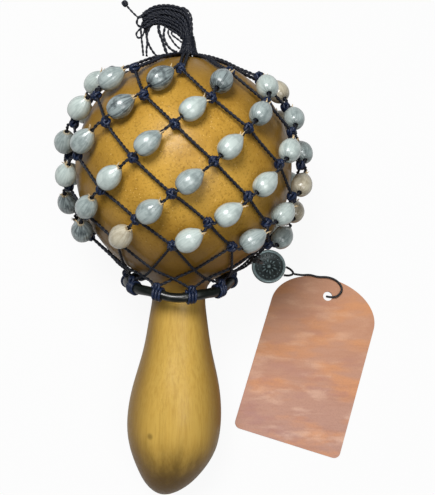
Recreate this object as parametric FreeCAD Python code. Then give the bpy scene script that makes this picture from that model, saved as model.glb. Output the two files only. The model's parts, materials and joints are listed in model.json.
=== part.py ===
import FreeCAD, Part
import math
import os

# A small netted gourd rattle (mini shekere) lying on its side, with its hang tag beside it.
# All sizes are in millimetres. The row frame has +Z up from the surface that it lies on, and
# +Y from the handle towards the crown. The gourd and its net are drawn in a gourd frame whose
# +Z runs along the gourd from handle to crown, with its origin at the middle of the head and
# -Y towards the upper side, and are then laid down by lay().

V = FreeCAD.Vector

# ---- gourd -------------------------------------------------------------------------------
HEAD_RADIUS = 39.7          # round head, seen across
HEAD_MID = -1.0             # height of the head's widest section
HEAD_FULLNESS = 4.8         # how much more gently the lower half curves in
SHOULDER_LAT = -62.58       # latitude on the head where it ends and the neck begins
# handle's radius and how far below the shoulder it is
HANDLE_OUTLINE = [(11.3, 3.2), (9.9, 8.0), (10.5, 14.7), (12.8, 28.6), (15.9, 41.0),
                  (17.7, 55.0), (16.5, 65.5), (12.3, 74.7), (9.0, 79.3), (5.4, 82.5)]
HANDLE_L = 84.5
GOURD_WALL = 3.0

# ---- how it lies -------------------------------------------------------------------------
HEAD_Y = 31.5               # puts the middle of its length over the origin

# ---- net ---------------------------------------------------------------------------------
COLUMNS = 10                # knots round each row
FIRST_LON = -5.0            # turn of the first column from the upper side
CORD_D = 1.2                # waxed cord
KNOT_D = 3.6
CLEAR = 0.35                # running gap between the net and the gourd
# row name, latitude on the head, knot centre above the gourd's skin
KNOT_ROWS = [("a", 49.92, 3.3), ("b", 32.49, 3.3), ("c", 18.67, 3.1), ("d", 3.08, 3.1),
             ("e", -10.70, 2.9), ("f", -22.54, 2.45), ("g", -34.42, 2.2)]
CROSS_ROWS = [(-51.01, 1.3), (-59.35, 1.3)]   # bare crossings under the last knots
BEND_R = 1.3                # bend of the cord where it enters a bead

# ---- beads -------------------------------------------------------------------------------
BEAD_L = 10.2
BEAD_D = 8.2
BEAD_BORE_D = CORD_D + 0.5
BEAD_KNOT_GAP = 0.25        # left between a bead and the knot that stops it
# share of the free run at which the beads of each row lie, from the lower knot
BEAD_REST = [0.5, 0.5, 0.05, 0.1, 0.1, 0.1]
LOOSE_BEADS = [3, 4, 4, 4, 4, 3]            # beads of each row kept as nodes of their own

# ---- neck ring ---------------------------------------------------------------------------
RING_STAND = 3.5            # ring's middle line outside the shoulder
RING_BELOW = 3.1            # and below it
RING_TUBE_D = 3.6
RING_TILT = 2.0             # its left side hangs lower
RING_DROOP = 5.0            # its upper side hangs lower
RING_SAG = 1.0              # it hangs off the gourd's axis
HITCH_T = 1.05              # cord wound on the ring
HITCH_ARC = 11.0            # degrees of the ring under one hitch

# ---- crown and tuft ----------------------------------------------------------------------
CROWN_LIFT = 1.0
GATHER_R = 3.0              # where the crown strands meet
TWIN_GAP = 0.75             # half the spacing of the twin strands
WHIP_BASE_R = 3.4
WHIP_TOP_R = 2.1
WHIP_H = 6.5
TUFT_D = 5.2
# across, and above the crown of the gourd
TUFT_ROUTE = [(-1.6, 10.7), (-4.4, 13.9), (-8.4, 14.9), (-12.1, 13.1)]
END_D = 1.2
TUFT_ENDS = [[(-12.6, 12.7), (-15.4, 9.9), (-15.9, 5.9), (-15.2, 2.5), (-14.6, -0.1)],
             [(-11.2, 12.3), (-12.4, 8.5), (-11.9, 4.7), (-12.9, 0.9)],
             [(-9.4, 12.7), (-9.9, 9.4), (-8.4, 6.2), (-6.6, 2.5)],
             [(-6.2, 13.1), (-6.6, 9.9), (-4.9, 6.6), (-2.9, 4.1)],
             [(-12.9, 13.3), (-15.2, 13.6), (-16.8, 11.7), (-16.2, 9.4)]]
STRAY_ROUTE = [(-13.4, 13.9), (-15.9, 15.7), (-18.6, 16.9), (-20.9, 18.9)]
STRAY_D = 0.8
STRAY_KNOT_D = 2.4

# ---- seal, strings and hang tag, in the row frame ----------------------------------------
SEAL_X = 36.5
SEAL_Y = 3.6
SEAL_D = 13.9
SEAL_T = 2.2
SEAL_RIM_W = 1.3
SEAL_RIM_H = 0.45
SEAL_TURN = -14.0           # the line from string to string through the seal
EYE_L = 4.0
EYE_W = 3.6
STRING_D = 0.9
STRING_KNOT_D = 3.0
STRING_KNOT_COLUMN = 2      # strand that the strings are tied to, from this column's last knot
STRING_KNOT_ALONG = 0.603   # share of its first run
STRING_KNOT_LIFT = 0.98     # knot's centre outside the strand's
SEAL_STRING_UPPER = [V(28.1, -2.3, 42.8), V(30.0, -0.3, 36.6), V(29.8, 2.2, 30.4),
                     V(29.0, 4.1, 23.6), V(28.9, 5.8, 16.6), V(27.6, 7.0, 10.0),
                     V(27.1, 7.3, 4.6), V(29.5, 6.6, 1.3)]
SEAL_STRING_LOWER = [V(28.6, -3.4, 43.0), V(31.0, -2.6, 36.8), V(30.6, -0.4, 30.6),
                     V(30.4, 1.6, 23.8), V(29.3, 3.0, 16.8), V(29.2, 3.6, 10.2),
                     V(27.6, 4.1, 4.8), V(29.1, 4.6, 1.3)]
TAG_STRING = [V(47.1, 0.9, 0.9), V(50.3, 0.4, 1.0), V(53.4, 0.8, 1.5), V(57.0, -0.2, 1.6),
              V(61.0, 0.1, 1.6), V(64.9, -1.3, 1.7), V(67.3, -4.6, 1.7), V(65.4, -7.9, 1.6),
              V(62.3, -8.5, 1.7), V(60.6, -7.9, 0.5)]
TAG_W = 43.5
TAG_L = 69.3
TAG_T = 0.8
TAG_ARCH = 15.0             # height of the rounded top
TAG_CORNER = 2.5
TAG_HOLE_D = 3.8
TAG_HOLE_DOWN = 7.4         # hole centre below the top of the arch
TAG_TURN = -15.4
TAG_X = 44.7
TAG_Y = -67.5


# ---- the gourd's skin --------------------------------------------------------------------
def skin_gap(r, s):
    """Distance of a point outside the gourd's head, at radius r and height s."""
    if s > HEAD_MID:
        return math.hypot(r, s - HEAD_MID) - HEAD_RADIUS
    return math.hypot(r + HEAD_FULLNESS, s - HEAD_MID) - HEAD_RADIUS - HEAD_FULLNESS


def polar(lon, r, s):
    """Point of the gourd frame at a longitude counted from the upper side."""
    turn = math.radians(lon)
    return V(r * math.sin(turn), -r * math.cos(turn), s)


def over_head(lon, lat, lift):
    """Point that stands lift outside the gourd's head."""
    fullness = HEAD_FULLNESS if lat < 0 else 0.0
    reach = HEAD_RADIUS + fullness + lift
    up = math.radians(lat)
    return polar(lon, reach * math.cos(up) - fullness, HEAD_MID + reach * math.sin(up))


SHOULDER = over_head(90, SHOULDER_LAT, 0)


def handle_points():
    """Radius and height of points down the side of the neck and handle."""
    return [(r, SHOULDER.z - below) for r, below in HANDLE_OUTLINE]


def gourd_outline(inset):
    """Half outline of the gourd, inset evenly from its skin, as a closed face."""
    top = HEAD_RADIUS - inset
    slope = math.radians(SHOULDER_LAT)
    shoulder = over_head(90, SHOULDER_LAT, -inset)
    belly = over_head(90, SHOULDER_LAT / 2, -inset)
    half = top * math.sqrt(0.5)
    crown = V(0, 0, HEAD_MID + top)
    side = V(top, 0, HEAD_MID)
    upper = Part.Arc(crown, V(half, 0, HEAD_MID + half), side).toShape()
    lower = Part.Arc(side, belly, shoulder).toShape()
    tip = V(0, 0, SHOULDER.z - HANDLE_L + inset)
    sides = [V(r - inset, 0, s) for r, s in handle_points() if r > 3.2 * inset]
    handle = Part.BSplineCurve()
    handle.interpolate(Points=[shoulder] + sides + [tip], FinalTangent=V(-1, 0, 0), Scale=False,
                       InitialTangent=V(math.sin(slope), 0, -math.cos(slope)))
    axis = Part.makeLine(tip, crown)
    return Part.Face(Part.Wire([upper, lower, handle.toShape(), axis]))


def gourd_shell():
    outer = gourd_outline(0.0).revolve(V(0, 0, 0), V(0, 0, 1), 360)
    inner = gourd_outline(GOURD_WALL).revolve(V(0, 0, 0), V(0, 0, 1), 360)
    return outer.cut(inner)


# ---- tubes -------------------------------------------------------------------------------
def bend_radii(points):
    """Radius of the arc that rounds each inner point of a route."""
    radii = []
    for a, b, c in zip(points, points[1:], points[2:]):
        turn = (b - a).getAngle(c - b)
        shorter = min((b - a).Length, (c - b).Length)
        radii.append(0.45 * shorter / math.tan(turn / 2))
    return radii


def tube(points, diameter, largest=None):
    """Round tube along straight runs joined by tangent arcs."""
    edges = []
    start = points[0]
    for i, radius in enumerate(bend_radii(points), 1):
        a, b, c = points[i - 1], points[i], points[i + 1]
        into = (b - a).normalize()
        away = (c - b).normalize()
        half = into.getAngle(away) / 2
        if largest is not None:
            radius = min(radius, largest)
        back = radius * math.tan(half)
        first = b - into * back
        last = b + away * back
        inward = (away - into).normalize()
        middle = b + inward * (radius / math.cos(half) - radius)
        edges.append(Part.LineSegment(start, first).toShape())
        edges.append(Part.Arc(first, middle, last).toShape())
        start = last
    edges.append(Part.LineSegment(start, points[-1]).toShape())
    path = Part.Wire(edges)
    ring = Part.Wire([Part.makeCircle(diameter / 2, points[0], points[1] - points[0])])
    solid = path.makePipeShell([ring], True, False)
    expected = path.Length * math.pi * diameter ** 2 / 4
    if abs(solid.Volume / expected - 1) > 0.02:
        raise ValueError("a tube's volume is not its section times its length")
    return solid


def straight(a, b, diameter):
    return Part.makeCylinder(diameter / 2, (b - a).Length, a, b - a)


# ---- net ---------------------------------------------------------------------------------
def knot_centre(row, column):
    """Centre of a knot. Odd rows stand half a column round from even ones."""
    name, lat, lift = KNOT_ROWS[row]
    lon = FIRST_LON + 360.0 / COLUMNS * (column + 0.5 * (row % 2))
    return over_head(lon, lat, lift)


def knots(row):
    return [Part.makeSphere(KNOT_D / 2, knot_centre(row, c)) for c in range(COLUMNS)]


class BeadLeg:
    """Cord from a lower knot up and round to the next row's knot, and the bead on it."""

    def __init__(self, row, column):
        self.row = row
        self.low = knot_centre(row + 1, column)
        self.high = knot_centre(row, column + (row + 1) % 2)
        chord = self.high - self.low
        self.length = chord.Length
        self.along = V(chord).normalize()
        middle = (self.low + self.high) * 0.5
        outward = middle - V(0, 0, HEAD_MID)
        outward = outward - self.along * outward.dot(self.along)
        self.outward = outward.normalize()
        self.rise = 0.0
        for _ in range(8):
            seat = middle + self.outward * self.rise
            self.rise += BEAD_D / 2 + CLEAR - skin_gap(math.hypot(seat.x, seat.y), seat.z)
        stop = KNOT_D / 2 + BEAD_KNOT_GAP
        self.travel = self.length - 2 * stop - BEAD_L
        self.rest = BEAD_REST[row] * self.travel
        reach = stop + BEAD_L / 2 + self.rest
        self.centre = self.low + self.along * reach + self.outward * self.rise

    def cord(self):
        step = KNOT_D / 2 - 0.3
        near = self.low + self.along * step + self.outward * self.rise
        far = self.high - self.along * step + self.outward * self.rise
        return tube([self.low, near, far, self.high], CORD_D, BEND_R)

    def bead(self):
        turn = FreeCAD.Rotation(V(0, 0, 1), self.along)
        shape = bead_shape()
        shape.Placement = FreeCAD.Placement(self.centre, turn)
        return shape

    def facing(self):
        """How far round from the upper side the bead lies, in degrees."""
        return abs(math.degrees(math.atan2(self.centre.x, -self.centre.y)))


def bead_shape():
    """Egg-shaped seed bead, bored along its length, with its pointed end up."""
    bore = BEAD_BORE_D / 2
    r = BEAD_D / 2
    h = BEAD_L / 2
    side = Part.BSplineCurve()
    side.interpolate([V(bore, 0, -h), V(0.72 * r, 0, -0.78 * h), V(r, 0, -0.15 * h),
                      V(0.78 * r, 0, 0.5 * h), V(bore, 0, h)])
    hole = Part.makeLine(V(bore, 0, h), V(bore, 0, -h))
    face = Part.Face(Part.Wire([side.toShape(), hole]))
    return face.revolve(V(0, 0, 0), V(0, 0, 1), 360)


def bead_legs(row):
    """The legs of one bead row, from the one that faces up most to the one that faces down."""
    legs = [BeadLeg(row, c) for c in range(COLUMNS)]
    return sorted(legs, key=BeadLeg.facing)


def row_pair(row):
    return KNOT_ROWS[row][0] + KNOT_ROWS[row + 1][0]


def bare_leg(row, column):
    """Cord from a lower knot up and round the other way, with no bead."""
    return straight(knot_centre(row + 1, column), knot_centre(row, column - row % 2), CORD_D)


def strands(row):
    solids = []
    for column in range(COLUMNS):
        solids.append(BeadLeg(row, column).cord())
        solids.append(bare_leg(row, column))
    return solids


def lower_strands():
    """Two bare strands from each last knot, crossing twice on the way to the neck ring."""
    half = 180.0 / COLUMNS
    solids = []
    for column in range(COLUMNS):
        lon = FIRST_LON + 2 * half * column
        for side in (-1, 1):
            points = [knot_centre(len(KNOT_ROWS) - 1, column)]
            for turn, (lat, lift) in zip((side, 2 * side), CROSS_ROWS):
                points.append(over_head(lon + turn * half, lat, lift))
            end = hitch_centre(lon + 3 * side * half)
            points.append(end + V(0, 0, RING_TUBE_D / 2 + HITCH_T / 2))
            solids.append(tube(points, CORD_D))
    return solids


# ---- neck ring ---------------------------------------------------------------------------
RING_R = SHOULDER.x + RING_STAND
RING_LEAN = FreeCAD.Rotation(V(0, 1, 0), -RING_TILT).multiply(FreeCAD.Rotation(V(1, 0, 0), RING_DROOP))
RING_SEAT = FreeCAD.Placement(V(0, RING_SAG, SHOULDER.z - RING_BELOW), RING_LEAN)


def ring_seated(shape):
    shape.Placement = RING_SEAT
    return shape


def hitch_centre(lon):
    return RING_SEAT.multVec(polar(lon, RING_R, 0))


def neck_ring():
    return ring_seated(Part.makeTorus(RING_R, RING_TUBE_D / 2))


def ring_hitches():
    """Cord wound round the rubber ring where the strands are tied to it."""
    solids = []
    for column in range(COLUMNS):
        lon = FIRST_LON + 360.0 / COLUMNS * (column + 0.5)
        centre = polar(lon - HITCH_ARC / 2, RING_R, 0)
        normal = V(0, 0, 1).cross(centre)
        outer = Part.Wire([Part.makeCircle(RING_TUBE_D / 2 + HITCH_T, centre, normal)])
        inner = Part.Wire([Part.makeCircle(RING_TUBE_D / 2, centre, normal)])
        section = Part.Face(outer).cut(Part.Face(inner))
        solids.append(ring_seated(section.revolve(V(0, 0, 0), V(0, 0, 1), HITCH_ARC)))
    return solids


# ---- crown and tuft ----------------------------------------------------------------------
def crown_strands():
    """Twin strands from each knot of the first row up over the crown to the tuft."""
    solids = []
    for column in range(COLUMNS):
        lon = FIRST_LON + 360.0 / COLUMNS * column
        across = polar(lon + 90, TWIN_GAP, 0)
        low = knot_centre(0, column)
        middle = polar(lon, 0.5 * math.hypot(low.x, low.y), 0)
        middle.z = HEAD_MID + math.sqrt((HEAD_RADIUS + CROWN_LIFT) ** 2 - middle.Length ** 2)
        top = polar(lon, GATHER_R, 0)
        top.z = HEAD_MID + math.sqrt((HEAD_RADIUS + CROWN_LIFT) ** 2 - GATHER_R ** 2)
        for side in (-1, 1):
            start = low + across * side
            solids.append(tube([start, middle + across * side, top + across * (0.6 * side)], CORD_D))
    return solids


def in_plane(route):
    """Route given across and above the crown, in the plane through the gourd's axis."""
    return [V(x, 0, HEAD_MID + HEAD_RADIUS + up) for x, up in route]


def whip_foot():
    return HEAD_MID + HEAD_RADIUS + CROWN_LIFT + CORD_D / 2


def tuft_whipping():
    """Tight winding that binds the gathered strands above the crown."""
    return Part.makeCone(WHIP_BASE_R, WHIP_TOP_R, WHIP_H, V(0, 0, whip_foot()))


def tuft_bundle():
    start = V(0, 0, whip_foot() + WHIP_H)
    return tube([start] + in_plane(TUFT_ROUTE), TUFT_D)


def tuft_ends():
    return [tube(in_plane(route), END_D) for route in TUFT_ENDS]


def stray_strand():
    return tube(in_plane(STRAY_ROUTE), STRAY_D)


def stray_knot():
    return Part.makeSphere(STRAY_KNOT_D / 2, in_plane(STRAY_ROUTE)[-1])


# ---- laying the gourd down ---------------------------------------------------------------
def depth(points, angle):
    """How far below the head's middle the lowest of some balls reaches, lying at an angle."""
    sine, cosine = math.sin(math.radians(angle)), math.cos(math.radians(angle))
    return max(p.y * cosine - p.z * sine + radius for p, radius in points)


def lying():
    """Angle of the gourd from level, and height of the head's middle, with the lowest bead
    and the handle both on the surface."""
    legs = [BeadLeg(row, c) for row in range(len(KNOT_ROWS) - 1) for c in range(COLUMNS)]
    beads = [(leg.centre, BEAD_D / 2) for leg in legs]
    low, high = 0.0, 45.0
    while high - low > 0.001:
        angle = (low + high) / 2
        handle = [(V(0, r, s), 0.0) for r, s in handle_points()]
        if depth(beads, angle) > depth(handle, angle):
            low = angle
        else:
            high = angle
    return high, depth(beads, high)


def lay(shape):
    """Turn a shape from the gourd frame to the row frame."""
    laid = shape.copy()
    laid.rotate(V(0, 0, 0), V(1, 0, 0), LIE_ANGLE - 90)
    laid.translate(V(0, HEAD_Y, HEAD_Z))
    return laid


LIE_ANGLE, HEAD_Z = lying()


# ---- seal, strings and tag ---------------------------------------------------------------
def seal_disc():
    """Round seal with a raised rim, lying on the surface."""
    disc = Part.makeCylinder(SEAL_D / 2, SEAL_T)
    dish = Part.makeCylinder(SEAL_D / 2 - SEAL_RIM_W, SEAL_RIM_H, V(0, 0, SEAL_T - SEAL_RIM_H))
    return placed_seal(disc.cut(dish))


def placed_seal(shape):
    shape.rotate(V(0, 0, 0), V(0, 0, 1), SEAL_TURN)
    shape.translate(V(SEAL_X, SEAL_Y, 0))
    return shape


def seal_eyelet():
    """Small open loop at the seal's edge that the tag's string leaves from."""
    foot = SEAL_D / 2
    middle = SEAL_T / 2
    points = [V(foot, -EYE_W / 2, middle), V(foot + EYE_L * 0.55, -EYE_W / 2.6, middle),
              V(foot + EYE_L, 0, middle), V(foot + EYE_L * 0.55, EYE_W / 2.6, middle),
              V(foot, EYE_W / 2, middle)]
    loop = tube(points, STRING_D)
    body = Part.makeCylinder(SEAL_D / 2, SEAL_T)
    return placed_seal(loop.cut(body))


def hang_tag():
    """Card with small lower corners, an arched top and one hole."""
    half = TAG_W / 2
    shoulder = TAG_L - TAG_ARCH
    c = TAG_CORNER
    k = c * (1 - math.sqrt(0.5))
    edges = [
        Part.makeLine(V(-half + c, 0, 0), V(half - c, 0, 0)),
        Part.Arc(V(half - c, 0, 0), V(half - k, k, 0), V(half, c, 0)).toShape(),
        Part.makeLine(V(half, c, 0), V(half, shoulder, 0)),
    ]
    if half > TAG_ARCH:
        arch = Part.Ellipse(V(0, shoulder, 0), half, TAG_ARCH)
        edges.append(Part.ArcOfEllipse(arch, 0, math.pi).toShape())
    else:
        arch = Part.Ellipse(V(0, shoulder + TAG_ARCH, 0), V(half, shoulder, 0), V(0, shoulder, 0))
        edges.append(Part.ArcOfEllipse(arch, -math.pi / 2, math.pi / 2).toShape())
    edges += [
        Part.makeLine(V(-half, shoulder, 0), V(-half, c, 0)),
        Part.Arc(V(-half, c, 0), V(-half + k, k, 0), V(-half + c, 0, 0)).toShape(),
    ]
    card = Part.Face(Part.Wire(Part.sortEdges(edges)[0])).extrude(V(0, 0, TAG_T))
    hole = Part.makeCylinder(TAG_HOLE_D / 2, TAG_T, V(0, TAG_L - TAG_HOLE_DOWN, 0))
    tag = card.cut(hole)
    tag.rotate(V(0, 0, 0), V(0, 0, 1), TAG_TURN)
    tag.translate(V(TAG_X, TAG_Y, 0))
    return tag


def string_knot():
    """Knot that ties both strings to one of the net's lower strands, in the gourd frame."""
    start = knot_centre(len(KNOT_ROWS) - 1, STRING_KNOT_COLUMN)
    lat, lift = CROSS_ROWS[0]
    lon = FIRST_LON + 360.0 / COLUMNS * (STRING_KNOT_COLUMN + 0.5)
    centre = start + (over_head(lon, lat, lift) - start) * STRING_KNOT_ALONG
    outward = (centre - V(0, 0, HEAD_MID)).normalize()
    return Part.makeSphere(STRING_KNOT_D / 2, centre + outward * STRING_KNOT_LIFT)


def cord_route(name, route):
    radii = bend_radii(route)
    print(name, "bend radii:", ", ".join("%.1f" % r for r in radii))
    solid = tube(route, STRING_D)
    print(name, "length: %.1f" % (solid.Volume / (math.pi * STRING_D ** 2 / 4)))
    return solid


# ---- nodes -------------------------------------------------------------------------------
def gourd_nodes():
    nodes = {
        "gourd_shell": [gourd_shell()],
        "neck_ring": [neck_ring()],
        "ring_hitches": ring_hitches(),
        "lower_strands": lower_strands(),
        "crown_strands": crown_strands(),
        "tuft_whipping": [tuft_whipping()],
        "tuft_bundle": [tuft_bundle()],
        "tuft_ends": tuft_ends(),
        "stray_strand": [stray_strand()],
        "stray_knot": [stray_knot()],
        "string_knot": [string_knot()],
    }
    for row in range(len(KNOT_ROWS)):
        nodes["knots_" + KNOT_ROWS[row][0]] = knots(row)
    for row in range(len(KNOT_ROWS) - 1):
        pair = row_pair(row)
        nodes["strands_" + pair] = strands(row)
        legs = bead_legs(row)
        loose = LOOSE_BEADS[row]
        for i, leg in enumerate(legs[:loose], 1):
            nodes["bead_%s_%d" % (pair, i)] = [leg.bead()]
        nodes["beads_" + pair] = [leg.bead() for leg in legs[loose:]]
    return {name: [lay(s) for s in solids] for name, solids in nodes.items()}


def table_nodes():
    return {
        "seal_string_upper": [cord_route("seal_string_upper", SEAL_STRING_UPPER)],
        "seal_string_lower": [cord_route("seal_string_lower", SEAL_STRING_LOWER)],
        "seal_disc": [seal_disc()],
        "seal_eyelet": [seal_eyelet()],
        "tag_string": [cord_route("tag_string", TAG_STRING)],
        "hang_tag": [hang_tag()],
    }


def main():
    os.makedirs("parts", exist_ok=True)
    nodes = gourd_nodes()
    nodes.update(table_nodes())
    for name, solids in nodes.items():
        shape = solids[0] if len(solids) == 1 else Part.makeCompound(solids)
        shape.exportStep("parts/" + name + ".step")
    print(len(nodes), "nodes")


if __name__ == "__main__":
    main()
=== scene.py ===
import json
import math
import random

import bmesh
import bpy
from mathutils import Matrix, Vector, noise
from mathutils.bvhtree import BVHTree

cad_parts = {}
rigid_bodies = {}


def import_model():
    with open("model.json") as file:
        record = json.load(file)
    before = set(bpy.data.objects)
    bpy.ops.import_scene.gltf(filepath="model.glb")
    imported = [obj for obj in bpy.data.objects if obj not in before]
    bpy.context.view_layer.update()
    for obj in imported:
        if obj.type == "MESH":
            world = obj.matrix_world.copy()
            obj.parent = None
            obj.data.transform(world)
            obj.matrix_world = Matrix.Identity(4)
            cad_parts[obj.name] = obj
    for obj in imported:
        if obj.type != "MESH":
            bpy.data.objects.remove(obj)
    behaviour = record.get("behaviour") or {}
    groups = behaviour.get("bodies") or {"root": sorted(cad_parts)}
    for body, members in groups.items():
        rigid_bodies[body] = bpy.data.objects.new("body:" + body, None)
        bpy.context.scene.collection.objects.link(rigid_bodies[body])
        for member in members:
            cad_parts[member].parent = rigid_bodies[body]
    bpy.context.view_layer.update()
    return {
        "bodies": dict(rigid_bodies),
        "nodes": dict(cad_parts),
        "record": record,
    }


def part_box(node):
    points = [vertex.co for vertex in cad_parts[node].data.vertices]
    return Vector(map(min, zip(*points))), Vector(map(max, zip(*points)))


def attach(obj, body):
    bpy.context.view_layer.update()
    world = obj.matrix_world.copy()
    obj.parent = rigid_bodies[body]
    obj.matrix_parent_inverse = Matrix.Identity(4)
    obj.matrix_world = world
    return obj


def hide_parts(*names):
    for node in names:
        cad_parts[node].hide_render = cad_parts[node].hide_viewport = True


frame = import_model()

bl_info = {
    "name": "Netted gourd rattle",
    "version": (1, 0, 0),
    "blender": (4, 5, 0),
    "location": "3D View > Sidebar > Rattle",
    "description": "Builds the visual pieces of a small gourd rattle in a beaded net",
    "category": "Add Mesh",
}

MM = 0.001

# ---- the gourd's own frame: X across, Y away from its upper side, S along it to the crown
TURN = next(j for j in frame["record"]["behaviour"]["joints"] if j["name"] == "net_turn")
HEAD = Vector(TURN["pos_m"])
AXIS = Vector(TURN["axis"]).normalized()
ACROSS = Vector((1, 0, 0))
UPPER = ACROSS.cross(AXIS)
LEAN = math.acos(max(-1.0, min(1.0, AXIS.z)))

HEAD_RADIUS = 39.7
HEAD_MID = -1.0
HEAD_FULLNESS = 4.8
COLUMNS = 10
PITCH = 360 / COLUMNS
FIRST_LON = -5.0
ROWS = "abcdefg"
CROSSINGS = [(-51.01, 1.3), (-59.35, 1.3)]
CROWN_LIFT = 1.0
GATHER_R = 3.0
TWIN_GAP = 0.75
KNOT_R = 1.85
RING_TUBE_R = 1.8
HITCH_CORD = 1.05
HITCH_LIFT = 1.15

# ---- how things are made: widths as shares of a cord's, steps in metres
FULL_TURN = 6.28
PLIES = 2
PLY_SHARE = 0.29
CORD_STEP = 0.36 * MM
TUFT_STEP = 0.4 * MM
LONG_CUT = 1.0
KNOT_STEPS = 84
KNOT_WINDS = 5
KNOT_ROUNDS = 2
KNOT_HOLE = 0.56
KNOT_SWELL = 0.44
SKIN_RINGS = 150
SKIN_SEGMENTS = 128
SKIN_SPOKES = 12
RING_STEPS = 120
RING_STEPS_PER_RADIAN = 19.1

# ---- strings to the seal and the tag, as they lie, in metres
SEAL_STRING_UPPER = [
    (0.0281, -0.0023, 0.0428), (0.0300, -0.0003, 0.0366), (0.0298, 0.0022, 0.0304),
    (0.0290, 0.0041, 0.0236), (0.0289, 0.0058, 0.0166), (0.0276, 0.0070, 0.0100),
    (0.0271, 0.0073, 0.0046), (0.0295, 0.0066, 0.0013)]
SEAL_STRING_LOWER = [
    (0.0286, -0.0034, 0.0430), (0.0310, -0.0026, 0.0368), (0.0306, -0.0004, 0.0306),
    (0.0304, 0.0016, 0.0238), (0.0293, 0.0030, 0.0168), (0.0292, 0.0036, 0.0102),
    (0.0276, 0.0041, 0.0048), (0.0291, 0.0046, 0.0013)]
TAG_STRING = [(0.0471, 0.0009, 0.0009), (0.0503, 0.0004, 0.0010), (0.0534, 0.0008, 0.0015),
              (0.0570, -0.0002, 0.0016), (0.0610, 0.0001, 0.0016), (0.0649, -0.0013, 0.0017),
              (0.0673, -0.0046, 0.0017), (0.0654, -0.0079, 0.0016), (0.0623, -0.0085, 0.0017),
              (0.0606, -0.0079, 0.0005)]

# ---- seeds
# outline of a seed from its round end to its pointed end and back through the bore:
# share of the half width, share of the half length
SEED_OUTLINE = [(0.19, -0.93), (0.24, -0.985), (0.38, -0.975), (0.56, -0.91), (0.74, -0.79),
                (0.88, -0.61), (0.965, -0.41), (1.0, -0.20), (0.99, -0.02), (0.95, 0.15),
                (0.88, 0.31), (0.78, 0.46), (0.66, 0.60), (0.53, 0.73), (0.41, 0.84),
                (0.33, 0.91), (0.29, 0.955), (0.26, 0.99), (0.20, 0.985), (0.17, 0.93),
                (0.165, 0.6), (0.165, 0.0), (0.165, -0.6)]
SEED_LAST_OUTER = 17
PALE, GREY, DARK, BEIGE, BORE, STEM = range(6)
SEED_TONES = {("ab", 9): DARK, ("bc", 9): DARK, ("ef", 7): DARK, ("ef", 9): GREY, ("fg", 8): DARK,
              ("fg", 9): BEIGE, ("bc", 0): PALE, ("cd", 8): GREY, ("ab", 8): GREY, ("de", 1): PALE,
              ("cd", 2): GREY, ("bc", 2): GREY, ("ef", 2): BEIGE, ("fg", 0): PALE, ("de", 8): PALE}

# ---- tuft: routes across and along the gourd, in millimetres
TUFT_INNER = [(-2.4, 45.0), (-3.2, 46.4), (-5.8, 48.0), (-9.2, 49.8), (-13.2, 50.2), (-16.2, 47.6)]
TUFT_OUTER = [(0.9, 45.2), (0.7, 51.9), (-1.6, 55.6), (-7.0, 56.9), (-13.0, 56.0), (-17.0, 53.2)]
TUFT_STRANDS = 30
LOOSE_ENDS = [
    [(-15.2, 52.6), (-17.6, 49.4), (-17.3, 45.2), (-16.6, 41.2), (-16.3, 38.4)],
    [(-14.2, 51.2), (-15.9, 47.2), (-15.0, 43.8), (-15.3, 40.6), (-15.1, 38.4)],
    [(-13.6, 50.2), (-15.6, 45.6), (-14.4, 42.2), (-12.7, 39.8), (-11.5, 38.6)],
    [(-11.0, 51.0), (-11.2, 47.6), (-9.8, 44.9), (-8.6, 41.4), (-7.8, 39.7)],
    [(-8.6, 50.2), (-9.4, 45.6), (-7.7, 42.2), (-5.7, 40.6), (-4.1, 40.3)],
    [(-6.4, 50.4), (-8.0, 47.2), (-6.4, 44.9), (-5.0, 43.0), (-3.2, 41.6)],
    [(-5.4, 49.0), (-6.6, 46.6), (-5.2, 45.6), (-3.9, 44.8), (-2.6, 43.8)],
    [(-15.4, 53.6), (-18.6, 52.4), (-19.3, 49.9), (-17.8, 48.5), (-16.4, 50.2), (-16.9, 52.0)],
    [(-15.0, 49.8), (-17.8, 48.0), (-19.4, 46.1), (-18.3, 44.3), (-16.6, 45.7), (-16.0, 48.0)],
    [(0.0, 49.6), (1.0, 52.4), (-0.6, 55.4), (-3.2, 56.6), (-5.0, 54.8)],
]
LOOSE_DEPTHS = (1.2, -0.4, 0.9, 1.4, 1.9, 0.5, 1.3, 0.4, 1.0, 0.6)
THICK_END = 3
STRAY = [(-15.2, 53.2), (-18.2, 51.6), (-20.4, 53.4), (-22.2, 55.2), (-23.6, 56.7)]


# ---- sizes and colours that a user would change
def colour(name, description, value):
    return bpy.props.FloatVectorProperty(name=name, description=description, subtype="COLOR",
                                         size=3, min=0.0, max=1.0, default=value)


def length(name, description, value):
    return bpy.props.FloatProperty(name=name, description=description, subtype="DISTANCE",
                                   unit="LENGTH", min=0.0001, default=value, precision=5)


class RattleSizes(bpy.types.PropertyGroup):
    cord_width: length("Cord", "Width of the net's twisted cord", 1.25 * MM)
    cord_turn: length("Cord turn", "Length of one turn of the twist", 3.4 * MM)
    knot_cord: length("Knot cord", "Width of the cord in a knot", 1.15 * MM)
    string_width: length("String", "Width of the string to the seal and the tag", 0.9 * MM)
    whipping_cord: length("Whipping", "Width of the thread that binds the tuft", 0.62 * MM)
    ring_droop: length("Ring droop", "How far the ring's upper side hangs down", 1.3 * MM)


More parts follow.
